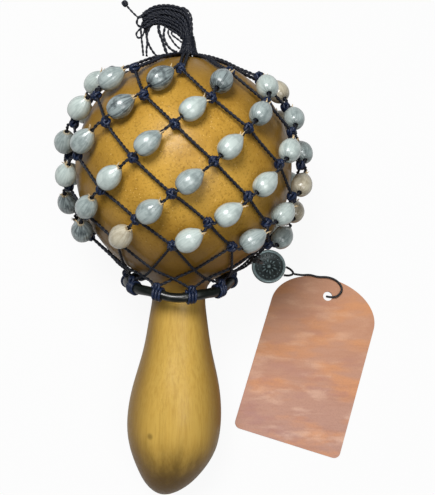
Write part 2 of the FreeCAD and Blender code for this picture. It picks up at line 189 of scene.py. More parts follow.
class RattleColours(bpy.types.PropertyGroup):
    skin_gold: colour("Gold skin", "Lacquered skin of the head", (0.50, 0.285, 0.045))
    skin_deep: colour("Deep skin", "Darker patches of the skin", (0.29, 0.145, 0.016))
    handle_straw: colour("Handle", "Paler skin of the handle", (0.54, 0.345, 0.075))
    tip_brown: colour("Tip", "Dark brown end of the handle", (0.045, 0.020, 0.004))
    cord_navy: colour("Cord", "Waxed cord of the net", (0.0030, 0.0046, 0.0105))
    knot_navy: colour("Knots", "Waxed cord of the knots", (0.0050, 0.0120, 0.0380))
    tag_card: colour("Tag", "Printed face of the card", (0.46, 0.245, 0.180))
    seal_pewter: colour("Seal", "Raised metal of the seal", (0.27, 0.36, 0.37))


def sizes():
    return bpy.context.scene.rattle_sizes


def colours():
    return bpy.context.scene.rattle_colours


# ---- places
def lay(x, y, s):
    """Point of the row frame, in metres, from millimetres in the gourd's frame."""
    return HEAD + (ACROSS * x - UPPER * y + AXIS * s) * MM


def unlay(point):
    """Millimetres in the gourd's frame of a point of the row frame."""
    away = (point - HEAD) / MM
    return away.dot(ACROSS), -away.dot(UPPER), away.dot(AXIS)


def any_turn(draw):
    return draw.uniform(0, FULL_TURN)


def spoke(first, second, a):
    """Direction at angle a from the first direction round to the second."""
    return first * math.cos(a) + second * math.sin(a)


def square_to(way, vector):
    """Direction of a vector with its share along way taken off."""
    return (vector - way * vector.dot(way)).normalized()


def polar(lon, r, s):
    """Point r millimetres from the gourd's axis, lon degrees round from its upper side."""
    turn = math.radians(lon)
    return lay(r * math.sin(turn), -r * math.cos(turn), s)


def over_head(lon, lat, lift):
    """Point that stands lift millimetres outside the gourd's head."""
    fullness = HEAD_FULLNESS if lat < 0 else 0.0
    reach = HEAD_RADIUS + fullness + lift
    up = math.radians(lat)
    return polar(lon, reach * math.cos(up) - fullness, HEAD_MID + reach * math.sin(up))


def lumps(node):
    """Corner points of each separate solid of a CAD node."""
    mesh = frame["nodes"][node].data
    keys = [tuple(round(c, 7) for c in v.co) for v in mesh.vertices]
    parent = {key: key for key in keys}

    def root(key):
        while parent[key] != key:
            parent[key] = parent[parent[key]]
            key = parent[key]
        return key

    for edge in mesh.edges:
        a, b = root(keys[edge.vertices[0]]), root(keys[edge.vertices[1]])
        if a != b:
            parent[a] = b
    groups = {}
    for key in parent:
        groups.setdefault(root(key), []).append(Vector(key))
    return [groups[key] for key in sorted(groups)]


def middle(points):
    low = Vector(min(p[i] for p in points) for i in range(3))
    high = Vector(max(p[i] for p in points) for i in range(3))
    return (low + high) / 2


def knot_grid():
    """Centre of every knot of the net, by row and column."""
    grid = {}
    for row, letter in enumerate(ROWS):
        for lump in lumps("knots_" + letter):
            centre = middle(lump)
            x, y, s = unlay(centre)
            lon = math.degrees(math.atan2(x, -y))
            column = round((lon - FIRST_LON) / PITCH - 0.5 * (row % 2)) % COLUMNS
            grid[row, column] = centre
    return grid


KNOTS = knot_grid()


def low_end(row, column):
    return KNOTS[row + 1, column]


def beaded_end(row, column):
    return KNOTS[row, (column + (row + 1) % 2) % COLUMNS]


def bare_end(row, column):
    return KNOTS[row, (column - row % 2) % COLUMNS]


class Seat:
    """Where one seed sits, on the leg of the net that it is strung on."""

    def __init__(self, node, lump):
        self.node = node
        self.pair = node.split("_")[1]
        self.row = ROWS.index(self.pair[0])
        centre = middle(lump)
        self.column = min(range(COLUMNS), key=lambda c: self.leg_distance(c, centre))
        low = low_end(self.row, self.column)
        self.along = (beaded_end(self.row, self.column) - low).normalized()
        side = (centre - low) - self.along * (centre - low).dot(self.along)
        self.outward = side.normalized()
        cross = self.along.cross(self.outward)
        spans = []
        for way in (self.along, self.outward, cross):
            reach = [p.dot(way) for p in lump]
            spans.append((min(reach), max(reach)))
        self.centre = sum((way * (a + b) / 2 for way, (a, b)
                           in zip((self.along, self.outward, cross), spans)), Vector())
        self.half_length = (spans[0][1] - spans[0][0]) / 2
        self.half_width = (spans[1][1] - spans[1][0]) / 2
        off = self.centre - low
        self.rise = (off - self.along * off.dot(self.along)).length

    def leg_distance(self, column, centre):
        return ((low_end(self.row, column) + beaded_end(self.row, column)) / 2 - centre).length


def seats():
    found = []
    for node in sorted(frame["nodes"]):
        if node.startswith("bead"):
            found += [Seat(node, lump) for lump in lumps(node)]
    return found


SEATS = seats()
SEAT_ON = {(seat.row, seat.column): seat for seat in SEATS}


# ---- routes
def rounded(points, cut):
    """Route with each corner eased, from cut metres before it to cut metres after."""
    route = [points[0]]
    for a, b, c in zip(points, points[1:], points[2:]):
        back = min(cut, 0.48 * (b - a).length, 0.48 * (c - b).length)
        first = b + (a - b).normalized() * back
        last = b + (c - b).normalized() * back
        for i in range(7):
            t = i / 6
            route.append(first.lerp(b, t).lerp(b.lerp(last, t), t))
    route.append(points[-1])
    return route


def evened(points, step):
    """The same route with its points a step apart."""
    reach = [0.0]
    for a, b in zip(points, points[1:]):
        reach.append(reach[-1] + (b - a).length)
    count = max(2, round(reach[-1] / step))
    route = []
    k = 0
    for i in range(count + 1):
        want = reach[-1] * i / count
        while k < len(points) - 2 and reach[k + 1] < want:
            k += 1
        span = max(reach[k + 1] - reach[k], 1e-9)
        route.append(points[k].lerp(points[k + 1], (want - reach[k]) / span))
    return route


def eased(points, cut=LONG_CUT, step=CORD_STEP):
    return evened(rounded(points, cut), step)


def transported(path):
    """Two directions square to a route at each of its points, turned as little as possible."""
    ahead = [(path[min(i + 1, len(path) - 1)] - path[max(i - 1, 0)]).normalized()
             for i in range(len(path))]
    side = ahead[0].orthogonal().normalized()
    pairs = []
    for way in ahead:
        side = square_to(way, side)
        pairs.append((side, way.cross(side)))
    return pairs


# ---- meshes
class Yarn:
    """Gathers tubes and turned shapes into one mesh."""

    def __init__(self):
        self.points = []
        self.faces = []
        self.shades = []
        self.turns = []

    def tube(self, path, radius, sides=7, shade=0, about=None):
        """Tube along a route. With about, the route is closed and goes round that point."""
        base = len(self.points)
        count = len(path)
        closed = about is not None
        if not closed:
            pairs = transported(path)
        else:
            pairs = []
            for i, p in enumerate(path):
                way = (path[(i + 1) % count] - path[i - 1]).normalized()
                side = square_to(way, p - about)
                pairs.append((side, way.cross(side)))
        for i, (p, (side, up)) in enumerate(zip(path, pairs)):
            r = radius[i] if isinstance(radius, list) else radius
            for k in range(sides):
                turn = 2 * math.pi * k / sides
                self.points.append(p + spoke(side, up, turn) * r)
        for i in range(count if closed else count - 1):
            a, b = base + i * sides, base + (i + 1) % count * sides
            for k in range(sides):
                n = (k + 1) % sides
                self.add((a + k, a + n, b + n, b + k), shade)
        if not closed:
            self.add(tuple(base + k for k in reversed(range(sides))), shade)
            self.add(tuple(base + (count - 1) * sides + k for k in range(sides)), shade)

    def add(self, face, shade, turns=None):
        self.faces.append(face)
        self.shades.append(shade)
        self.turns.append(turns or [(0.0, 0.0)] * len(face))

    def twisted(self, path, width, turn, start=0.0):
        """Cord of plies twisted round each other."""
        ply = width * PLY_SHARE
        off = width / 2 - ply
        reach = 0.0
        plies = [[] for _ in range(PLIES)]
        for i, (p, (side, up)) in enumerate(zip(path, transported(path))):
            if i:
                reach += (p - path[i - 1]).length
            for k, strand in enumerate(plies):
                a = start + 2 * math.pi * (reach / turn + k / PLIES)
                strand.append(p + spoke(side, up, a) * off)
        for strand in plies:
            self.tube(strand, ply)

    def strand(self, path, draw, share=1.0):
        """Length of the net's cord, at a share of its full width."""
        self.twisted(path, sizes().cord_width * share, sizes().cord_turn, any_turn(draw))

    def wound_knot(self, centre, upright, size, width, start):
        """Knot of cord wound over itself, standing along upright."""
        side = upright.orthogonal().normalized()
        front = upright.cross(side)
        tall = size - width / 2
        path = []
        for i in range(KNOT_STEPS):
            t = 2 * math.pi * i / KNOT_STEPS
            out = tall * KNOT_HOLE + tall * KNOT_SWELL * math.cos(KNOT_WINDS * t)
            path.append(centre + spoke(side, front, start + KNOT_ROUNDS * t) * out
                        + upright * (tall * math.sin(KNOT_WINDS * t)))
        self.tube(path, width / 2, about=centre)

    def lathe(self, place, outline, segments, shade_of=lambda i: 0,
              wobble=lambda turn, i: 1.0, start=0.0, closed=True):
        """Turned shape. Outline is pairs of radius and height, and place puts them in the frame."""
        base = len(self.points)
        rings = len(outline)
        for i, (r, h) in enumerate(outline):
            for k in range(segments):
                turn = start + 2 * math.pi * k / segments
                own = r * wobble(turn, i)
                self.points.append(place(own * math.cos(turn), own * math.sin(turn), h))
        for i in range(rings if closed else rings - 1):
            a, b = base + i * segments, base + (i + 1) % rings * segments
            for k in range(segments):
                n = (k + 1) % segments
                u, v = k / segments, (k + 1) / segments
                foot, head = i / rings, (i + 1) / rings
                turns = [(u, foot), (v, foot), (v, head), (u, head)]
                self.add((a + k, a + n, b + n, b + k), shade_of(i), turns)

    def piece(self, name, body, slot, materials, node):
        mesh = bpy.data.meshes.new(name)
        mesh.from_pydata([p[:] for p in self.points], [], self.faces)
        mesh.polygons.foreach_set("material_index", self.shades)
        mesh.polygons.foreach_set("use_smooth", [True] * len(self.faces))
        layer = mesh.uv_layers.new(name="UVMap")
        layer.data.foreach_set("uv", [c for face in self.turns for uv in face for c in uv])
        for material in materials:
            mesh.materials.append(material)
        tidy = bmesh.new()
        tidy.from_mesh(mesh)
        bmesh.ops.recalc_face_normals(tidy, faces=tidy.faces)
        tidy.to_mesh(mesh)
        tidy.free()
        return placed(bpy.data.objects.new(name, mesh), body, node)

    def net_piece(self, name, node):
        self.piece(name, "net", "net_cord", [net_cord()], node)


def placed(obj, body, node):
    bpy.context.scene.collection.objects.link(obj)
    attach(obj, body)
    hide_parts(node)
    return obj


# ---- materials
class Finish:
    """A material with its nodes, and short ways to add to them."""

    def __init__(self, name, roughness, metallic=0.0, coat=0.0, specular=0.5):
        self.material = bpy.data.materials.new(name)
        self.material.use_nodes = True
        self.tree = self.material.node_tree
        self.shader = self.tree.nodes["Principled BSDF"]
        for key, value in (("Roughness", roughness), ("Metallic", metallic), ("Coat Weight", coat),
                           ("Coat Roughness", 0.18), ("Specular IOR Level", specular)):
            self.shader.inputs[key].default_value = value
        self.where = self.node("ShaderNodeTexCoord").outputs["Object"]

    def feed(self, sockets, values):
        """Link each socket to its value, or set it where the value is a plain one."""
        for socket, value in zip(sockets, values):
            if isinstance(value, bpy.types.NodeSocket):
                self.tree.links.new(value, socket)
            else:
                socket.default_value = value

    def node(self, kind, values=(), **inputs):
        made = self.tree.nodes.new(kind)
        for key, value in dict(values).items():
            setattr(made, key, value)
        self.feed([made.inputs[key.replace("_", " ")] for key in inputs], inputs.values())
        return made

    def uv(self):
        return self.node("ShaderNodeTexCoord").outputs["UV"]

    def normal(self):
        return self.node("ShaderNodeNewGeometry").outputs["Normal"]

    def part(self, vector, axis):
        return self.node("ShaderNodeSeparateXYZ", Vector=vector).outputs[axis]

    def mapped(self, source, scale=(1, 1, 1), turn=(0, 0, 0), place=(0, 0, 0), kind="POINT"):
        return self.node("ShaderNodeMapping", {"vector_type": kind}, Vector=source, Scale=scale,
                         Rotation=turn, Location=place).outputs["Vector"]

    def grain(self, source, scale, detail, roughness=0.55, distortion=0.0):
        return self.node("ShaderNodeTexNoise", Vector=source, Scale=scale, Detail=detail,
                         Roughness=roughness, Distortion=distortion).outputs["Fac"]

    def spread(self, value, low, high, to_low=0.0, to_high=1.0, kind="SMOOTHSTEP"):
        return self.node("ShaderNodeMapRange", {"clamp": True, "interpolation_type": kind},
                         Value=value, From_Min=low, From_Max=high, To_Min=to_low,
                         To_Max=to_high).outputs["Result"]

    def patches(self, source, scale, detail, low, high, roughness=0.55, distortion=0.0):
        return self.spread(self.grain(source, scale, detail, roughness, distortion), low, high)

    def worked(self, kind, operation, *values):
        made = self.node(kind, {"operation": operation})
        self.feed(made.inputs, values)
        return made.outputs["Value"]

    def times(self, a, b):
        return self.worked("ShaderNodeMath", "MULTIPLY", a, b)

    def blend(self, share, below, above):
        """Colour below, with colour above laid over it where share is 1."""
        made = self.node("ShaderNodeMix", {"data_type": "RGBA"})
        pair = [c if isinstance(c, bpy.types.NodeSocket) else (*c, 1.0) for c in (below, above)]
        self.feed((made.inputs[0], made.inputs[6], made.inputs[7]), (share, *pair))
        return made.outputs[2]

    def layered(self, shade, *layers):
        """Colour with each layer of mask, amount and colour laid over it in turn."""
        for mask, amount, above in layers:
            shade = self.blend(self.times(mask, amount), shade, above)
        return shade

    def coloured(self, socket):
        self.tree.links.new(socket, self.shader.inputs["Base Color"])

    def roughened(self, value, low, high, to_low, to_high):
        spread = self.spread(value, low, high, to_low, to_high, "LINEAR")
        self.tree.links.new(spread, self.shader.inputs["Roughness"])

    def bumped(self, height, strength, depth):
        made = self.node("ShaderNodeBump", Height=height, Strength=strength, Distance=depth)
        self.tree.links.new(made.outputs["Normal"], self.shader.inputs["Normal"])
        return self.material


def tint(value, factor):
    return tuple(min(1.0, c * factor) for c in value)


# heights along the gourd's axis from the middle of its head, in metres: where each look of the
# skin starts, and where it is full. The freckle is a dark spot on the handle
# the shoulder band is painted shade: the lower head is darkened towards the neck as it is in shade
SHOULDER_PAINTED_SHADE = (-0.012, -0.040)
HANDLE = (-0.040, -0.052)
# the neck band is a painted shadow of the rubber ring, faint, round and below the ring
RING_SHADE_FROM_HEAD = (-0.040, -0.046)
RING_SHADE_FROM_HANDLE = (-0.072, -0.046)
TIP = (-0.090, -0.1115)
TIP_RAGGEDNESS = 0.014
FRECKLE_PLACE = (-0.0085, -0.0155, -0.0985)
FRECKLE_EDGE = (0.0017, 0.0004)
PAINTED_FLANK_SHADE = (0.98, 0.42)  # painted shade on the flanks: share of the skin's facing that is towards its upper side, below which the skin is painted darker
PALE_FLECK = (0.90, 0.64, 0.26)
SEED_END = (0.42, 0.33, 0.19)
CARD_EDGE = (0.20, 0.09, 0.06)


def gourd_finish():
    """Golden lacquered skin, paler and grained down the handle, dark brown at its end, with painted
    shade on the flanks, on the lower head and round the neck under the ring.
    """
    own = colours()
    gold, deep, straw = tuple(own.skin_gold), tuple(own.skin_deep), tuple(own.handle_straw)
    skin = Finish("lacquered_gourd", 0.42, coat=0.03, specular=0.22)
    here = skin.mapped(skin.where, turn=(-LEAN, 0, 0), place=HEAD, kind="TEXTURE")
    height = skin.part(here, "Z")
    clouds = skin.patches(here, 190, 5.0, 0.38, 0.66, 0.6)
    head = skin.layered(
        gold,
        (skin.patches(here, 45, 4.0, 0.40, 0.62), 0.55, deep),
        (clouds, 0.28, tint(gold, 1.28)),
        (skin.patches(here, 1250, 3.0, 0.50, 0.68, 0.6), 0.62, tint(deep, 0.78)),
        (skin.patches(here, 1700, 2.0, 0.66, 0.76, 0.5), 0.65, PALE_FLECK),
        # painted shade on the lower head, towards the neck
        (skin.spread(height, *SHOULDER_PAINTED_SHADE), 0.80, tint(deep, 0.62)))
    lines = skin.mapped(here, scale=(1.0, 1.0, 0.045))
    handle = skin.layered(
        straw,
        (skin.patches(lines, 1500, 4.0, 0.42, 0.64, 0.65), 0.30, tint(deep, 1.05)),
        (skin.patches(lines, 420, 3.0, 0.45, 0.65), 0.26, tint(straw, 1.22)),
        (clouds, 0.22, gold))
    # painted shadow: a faint darkening of the neck round and below the rubber ring
    neck = skin.times(skin.spread(height, *RING_SHADE_FROM_HEAD), skin.spread(height, *RING_SHADE_FROM_HANDLE))
    ragged = skin.worked("ShaderNodeMath", "MULTIPLY_ADD", skin.grain(lines, 260, 3.0),
                         TIP_RAGGEDNESS, height)
    freckle = skin.worked("ShaderNodeVectorMath", "DISTANCE", here, FRECKLE_PLACE)
    # painted shade: the skin is darkened where it faces away from its upper side, as the flanks are
    # in shade
    facing_for_painted_shade = skin.worked("ShaderNodeVectorMath", "DOT_PRODUCT", skin.normal(), UPPER)
    skin.coloured(skin.layered(
        skin.blend(skin.spread(height, *HANDLE), head, handle),
        (neck, 0.08, tint(deep, 0.9)),
        (skin.spread(ragged, *TIP), 0.88, tuple(own.tip_brown)),
        (skin.spread(freckle, *FRECKLE_EDGE), 0.5, tuple(own.tip_brown)),
        (skin.spread(facing_for_painted_shade, *PAINTED_FLANK_SHADE), 0.74, tint(deep, 0.60))))
    skin.roughened(skin.grain(here, 900, 3.0), 0.3, 0.7, 0.31, 0.46)
    return skin.bumped(skin.grain(here, 1100, 4.0), 0.16, 0.0004)


def cord_finish(name, base, light, roughness=0.5):
    """Waxed thread: fine fibres, with paler patches painted in at random as highlights, where the
    wax catches the light.
    """
    cord = Finish(name, roughness, specular=0.4)
    # painted highlight: the patches of the light colour stand in for glints on the wax
    cord.coloured(cord.layered(
        base,
        (cord.patches(cord.where, 2600, 3.0, 0.50, 0.72, 0.6), 0.55, light),
        (cord.patches(cord.where, 700, 2.0, 0.55, 0.70), 0.25, tint(light, 1.5))))
    return cord.bumped(cord.grain(cord.where, 3600, 2.0), 0.5, 0.0002)


def seed_finish(name, light, dark, amount):
    """Glossy seed coat with faint long streaks from end to end."""
    seed = Finish(name, 0.26, coat=0.30)
    along = seed.mapped(seed.uv(), scale=(26.0, 2.2, 1.0))
    streaks = seed.patches(along, 1.0, 4.0, 0.40, 0.70, 0.6, 0.6)
    end = seed.part(seed.uv(), "Y")
    foot = seed.times(seed.spread(end, 0.24, 0.07),
                      seed.spread(streaks, 0.0, 1.0, 0.45, 1.0, "LINEAR"))
    seed.coloured(seed.layered(
        light,
        (streaks, amount, dark),
        (seed.patches(seed.where, 330, 3.0, 0.46, 0.68), amount * 0.8, tint(dark, 0.85)),
        (seed.patches(seed.where, 1500, 2.0, 0.52, 0.70), 0.12, tint(light, 1.2)),
        (foot, 0.75, tint(dark, 0.45)),
        (seed.spread(end, 0.60, 0.73), 0.75, SEED_END)))
    return seed.bumped(seed.grain(along, 2.0, 3.0), 0.14, 0.0003)


def plain_finish(name, base, roughness):
    """Small trim: one colour, slightly mottled and slightly uneven."""
    trim = Finish(name, roughness)
    mottle = trim.patches(trim.where, 900, 3.0, 0.35, 0.7)
    trim.coloured(trim.layered(base, (mottle, 0.6, tint(base, 0.55))))
    return trim.bumped(trim.grain(trim.where, 1800, 2.0), 0.3, 0.0001)


def rubber_finish():
    """Black rubber with a green cast, dusty in patches."""
    rubber = Finish("black_rubber", 0.36)
    dust = rubber.patches(rubber.where, 420, 4.0, 0.50, 0.72, 0.6)
    rubber.coloured(rubber.layered((0.004, 0.006, 0.005), (dust, 0.5, (0.018, 0.024, 0.019))))
    rubber.roughened(dust, 0.0, 1.0, 0.28, 0.55)
    return rubber.bumped(rubber.grain(rubber.where, 1300, 3.0), 0.25, 0.0002)


def seal_finish():
    """Cast pewter: dark in the dish, rubbed bright on the rim and the relief."""
    pewter = colours().seal_pewter
    metal = Finish("cast_pewter", 0.38, metallic=0.25, specular=0.6)
    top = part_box("seal_disc")[1].z
    rubbed = metal.spread(metal.part(metal.where, "Z"), top - 0.42 * MM, top - 0.08 * MM)
    patina = metal.patches(metal.where, 900, 4.0, 0.42, 0.66)
    dish = metal.layered(tint(pewter, 0.20), (patina, 0.6, tint(pewter, 0.45)))
    bright = metal.layered(tint(pewter, 1.35), (patina, 0.4, tint(pewter, 0.85)))
    metal.coloured(metal.blend(rubbed, dish, bright))
    metal.roughened(metal.grain(metal.where, 1600, 2.0), 0.3, 0.7, 0.34, 0.55)
    return metal.bumped(metal.grain(metal.where, 2200, 3.0), 0.25, 0.0001)


def tag_finish():
    """Printed card: terracotta ground with orange and purplish clouds, matte."""
    card = Finish("printed_card", 0.62)
    lean = (0, 0, math.radians(15))
    wide = card.mapped(card.where, scale=(1.0, 2.6, 1.0), turn=lean)
    second = card.mapped(wide, place=(0.31, 0.17, 0.0))
    third = card.mapped(wide, place=(0.11, 0.47, 0.0))
    level = card.mapped(card.where, scale=(0.10, 1.0, 1.0), turn=lean)
    card.coloured(card.layered(
        tuple(colours().tag_card),
        (card.patches(wide, 38, 3.0, 0.46, 0.66), 0.60, (0.68, 0.27, 0.085)),
        (card.patches(second, 52, 4.0, 0.50, 0.66), 0.55, (0.36, 0.17, 0.155)),
        (card.patches(third, 70, 4.0, 0.50, 0.70), 0.45, (0.76, 0.50, 0.37)),
        (card.patches(level, 620, 3.0, 0.46, 0.66), 0.24, (0.33, 0.13, 0.08)),
        (card.patches(card.where, 1500, 3.0, 0.45, 0.65), 0.14, CARD_EDGE),
        (card.spread(card.part(card.where, "Y"), -0.070, -0.015), 0.45, (0.54, 0.24, 0.09)),
        (card.spread(card.part(card.normal(), "Z"), 0.8, 0.3), 0.8, CARD_EDGE)))
    return card.bumped(card.grain(card.where, 1800, 3.0), 0.15, 0.0001)


def shared(make, name, *values):
    """A finish that several pieces share, made the first time that it is asked for."""
    return bpy.data.materials.get(name) or make(name, *values)


# the second colour of each cord finish is its painted highlight on the wax
def net_cord():
    return shared(cord_finish, "waxed_net_cord", tuple(colours().cord_navy), (0.018, 0.022, 0.036))


def knot_cord():
    return shared(cord_finish, "waxed_knot_cord", tuple(colours().knot_navy),
                  (0.020, 0.040, 0.100), 0.42)


def thin_string():
    return shared(cord_finish, "thin_black_string", (0.008, 0.008, 0.010), (0.05, 0.05, 0.055))


def seed_coats():
    return [shared(seed_finish, "seed_pale", (0.50, 0.57, 0.54), (0.27, 0.33, 0.32), 0.55),
            shared(seed_finish, "seed_grey", (0.37, 0.43, 0.42), (0.17, 0.21, 0.21), 0.70),
            shared(seed_finish, "seed_dark", (0.27, 0.32, 0.32), (0.035, 0.045, 0.05), 0.9),
            shared(seed_finish, "seed_beige", (0.52, 0.48, 0.37), (0.30, 0.25, 0.17), 0.60),
            shared(plain_finish, "seed_bore", (0.035, 0.028, 0.02), 0.6),
            shared(plain_finish, "seed_stem", (0.62, 0.47, 0.27), 0.6)]


# ---- camera, lamps and floor
LENS = 67.4
CAMERA_PLACE = (0.0, -0.07188, 0.37473)
CAMERA_RIGHT = (0.9984, 0.0298, 0.0471)
CAMERA_BACK = (-0.0396, -0.2158, 0.9756)
LAMP_TARGET = Vector((0.0, 0.0, 0.03))
LAMPS = (("key", (-0.12, 0.14, 0.61), 0.26, 3.7), ("fill", (0.20, -0.20, 0.58), 0.30, 1.15))
WORLD_COLOUR = (0.97, 0.985, 1.0, 1.0)
WORLD_STRENGTH = 0.12
FLOOR_COLOUR = (0.60, 0.60, 0.60, 1.0)
FLOOR_WHITENESS = 0.93
FLOOR_REACH = 9.0
FLOOR_DROP = 0.2 * MM


def white_to_camera(tree, surface, lit, white, share):
    """Surface that is lit to all but the camera, which sees share of white in it."""
    path = tree.nodes.new("ShaderNodeLightPath")
    seen = tree.nodes.new("ShaderNodeMath")
    seen.operation = "MULTIPLY"
    seen.inputs[1].default_value = share
    mix = tree.nodes.new("ShaderNodeMixShader")
    for source, socket in ((path.outputs["Is Camera Ray"], seen.inputs[0]),
                           (seen.outputs["Value"], mix.inputs[0]),
                           (lit.outputs[0], mix.inputs[1]),
                           (white.outputs[0], mix.inputs[2]),
                           (mix.outputs[0], surface.inputs["Surface"])):
        tree.links.new(source, socket)


class RATTLE_OT_stage(bpy.types.Operator):
    """Camera, lamps, world and the pale floor"""
    bl_idname = "rattle.stage"
    bl_label = "Stage"

    def execute(self, context):
        scene = context.scene
        scene.view_settings.view_transform = "Standard"
        lens = bpy.data.cameras.new("view")
        lens.lens = LENS
        lens.sensor_width = 36.0
        lens.clip_start = 0.01
        lens.clip_end = 60.0
        camera = bpy.data.objects.new("view", lens)
        back = Vector(CAMERA_BACK).normalized()
        up = back.cross(Vector(CAMERA_RIGHT).normalized()).normalized()
        camera.matrix_world = Matrix.Translation(CAMERA_PLACE) @ Matrix(
            (up.cross(back), up, back)).transposed().to_4x4()
        scene.collection.objects.link(camera)
        scene.camera = camera
        for name, place, width, power in LAMPS:
            lamp = bpy.data.lights.new(name, "AREA")
            lamp.shape = "DISK"
            lamp.size = width
            lamp.energy = power
            obj = bpy.data.objects.new(name, lamp)
            obj.location = place
            obj.rotation_euler = (LAMP_TARGET - Vector(place)).to_track_quat("-Z", "Y").to_euler()
            scene.collection.objects.link(obj)
        self.make_world(scene)
        self.make_floor(scene)
        return {"FINISHED"}

    def make_world(self, scene):
        world = bpy.data.worlds.new("studio")
        world.use_nodes = True
        nodes = world.node_tree.nodes
        light = nodes["Background"]
        light.inputs["Color"].default_value = WORLD_COLOUR
        light.inputs["Strength"].default_value = WORLD_STRENGTH
        white = nodes.new("ShaderNodeBackground")
        white.inputs["Color"].default_value = (1.0, 1.0, 1.0, 1.0)
        white.inputs["Strength"].default_value = 1.0
        white_to_camera(world.node_tree, nodes["World Output"], light, white, 1.0)
        scene.world = world

    def make_floor(self, scene):
        mesh = bpy.data.meshes.new("floor")
        mesh.from_pydata([(x * FLOOR_REACH, y * FLOOR_REACH, 0)
                          for x, y in ((-1, -1), (1, -1), (1, 1), (-1, 1))], [], [(0, 1, 2, 3)])
        floor = bpy.data.objects.new("floor", mesh)
        floor.location.z = -FLOOR_DROP
        material = bpy.data.materials.new("pale_floor")
        material.use_nodes = True
        nodes = material.node_tree.nodes
        matte = nodes["Principled BSDF"]
        matte.inputs["Base Color"].default_value = FLOOR_COLOUR
        matte.inputs["Roughness"].default_value = 0.9
        matte.inputs["Specular IOR Level"].default_value = 0.0
        white = nodes.new("ShaderNodeEmission")
        white.inputs["Strength"].default_value = 1.0
        white_to_camera(material.node_tree, nodes["Material Output"], matte, white,
                        FLOOR_WHITENESS)
        mesh.materials.append(material)
        scene.collection.objects.link(floor)


# ---- strings
def string_curve(name, route, node):
    """One thin string along its route."""
    curve = bpy.data.curves.new(name, "CURVE")
    curve.dimensions = "3D"
    curve.resolution_u = 10
    curve.bevel_depth = sizes().string_width / 2
    curve.bevel_resolution = 3
    curve.use_fill_caps = True
    spline = curve.splines.new("NURBS")
    spline.points.add(len(route) - 1)
    for point, place in zip(spline.points, route):
        point.co = (*place, 1.0)
    spline.order_u = 3
    spline.use_endpoint_u = True
    curve.materials.append(thin_string())
    return placed(bpy.data.objects.new(name, curve), "net", node)


class RATTLE_OT_strings(bpy.types.Operator):
    """The two strings from the net to the seal, and the one from the seal to the tag"""
    bl_idname = "rattle.strings"
    bl_label = "Strings"

    def execute(self, context):
        for name, route, node, long in (
                ("upper_string", SEAL_STRING_UPPER, "seal_string_upper", 0.0438),
                ("lower_string", SEAL_STRING_LOWER, "seal_string_lower", 0.0432)):
            piece = string_curve(name, route, node)
            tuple(route[0])
        piece = string_curve("tag_tie", TAG_STRING, "tag_string")
        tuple(TAG_STRING[0])
        return {"FINISHED"}


# ---- gourd
def skin_outline():
    """Radius and height of the gourd's skin in millimetres, from the CAD solid, tip to crown."""
    mesh = frame["nodes"]["gourd_shell"].data
    solid = BVHTree.FromPolygons([v.co for v in mesh.vertices], [p.vertices for p in mesh.polygons])
    ends = []
    for s, way in ((-160, 1), (70, -1)):
        hit = solid.ray_cast(lay(0.01, 0.01, s), AXIS * way)
        ends.append(unlay(hit[0])[2])
    tip, crown = ends
    outline = []
    for i in range(1, SKIN_RINGS):
        share = (1 - math.cos(math.pi * i / SKIN_RINGS)) / 2
        s = tip + (crown - tip) * share
        reach = []
        for k in range(SKIN_SPOKES):
            start = polar(360 / SKIN_SPOKES * k, 80, s)
            hit = solid.ray_cast(start, (lay(0, 0, s) - start).normalized())
            x, y, _ = unlay(hit[0])
            reach.append(math.hypot(x, y))
        outline.append((sum(reach) / len(reach), s))
    return [(0.02, tip)] + outline + [(0.02, crown)]


def bend_of_handle(s):
    """How far the handle leans off the gourd's axis, in millimetres."""
    middle_lean = 0.45 * math.exp(-((s + 76) / 16) ** 2)
    tip = max(0.0, min(1.0, (-104 - s) / 21))
    return middle_lean - 2.7 * tip * tip


class RATTLE_OT_gourd(bpy.types.Operator):
    """The gourd's skin, head and handle in one"""
    bl_idname = "rattle.gourd"
    bl_label = "Gourd"

    def execute(self, context):
        yarn = Yarn()
        outline = skin_outline()

        def place(x, y, s):
            hollow = 0.5 + 0.5 * noise.noise(Vector((x, y, s)) * 0.045)
            shrink = 1.0 - 0.006 * hollow
            return lay(x * shrink + bend_of_handle(s), y * shrink, s)

        yarn.lathe(place, outline, SKIN_SEGMENTS, closed=False)
        last = (len(outline) - 1) * SKIN_SEGMENTS
        yarn.add(tuple(reversed(range(SKIN_SEGMENTS))), 0)
        yarn.add(tuple(last + k for k in range(SKIN_SEGMENTS)), 0)
        yarn.piece("gourd_skin", "gourd", "gourd_skin", [gourd_finish()], "gourd_shell")
        return {"FINISHED"}


# ---- net
class RATTLE_OT_net(bpy.types.Operator):
    """The net's twisted strands, row by row"""
    bl_idname = "rattle.net"
    bl_label = "Net strands"

    def execute(self, context):
        draw = random.Random(11)
        for row in range(len(ROWS) - 1):
            pair = ROWS[row] + ROWS[row + 1]
            yarn = Yarn()
            for column in range(COLUMNS):
                self.beaded(yarn, row, column, draw)
                self.bare(yarn, row, column, draw)
            yarn.net_piece("net_" + pair, "strands_" + pair)
        return {"FINISHED"}

    @staticmethod
    def beaded(yarn, row, column, draw):
        seat = SEAT_ON[row, column]
        low, high = low_end(row, column), beaded_end(row, column)
        lift = seat.outward * seat.rise
        step = seat.along * 1.2 * MM
        path = eased([low, low + step + lift, high - step + lift, high], 0.8 * MM)
        yarn.strand(path, draw, 0.94)

    @staticmethod
    def bare(yarn, row, column, draw):
        low, high = low_end(row, column), bare_end(row, column)
        outward = ((low + high) / 2 - lay(0, 0, HEAD_MID)).normalized()
        across = (high - low).normalized().cross(outward)
        bow = across * draw.uniform(-0.35, 0.35) * MM
        path = eased([low, low.lerp(high, 0.35) + bow, low.lerp(high, 0.7) + bow, high])
        yarn.strand(path, draw)


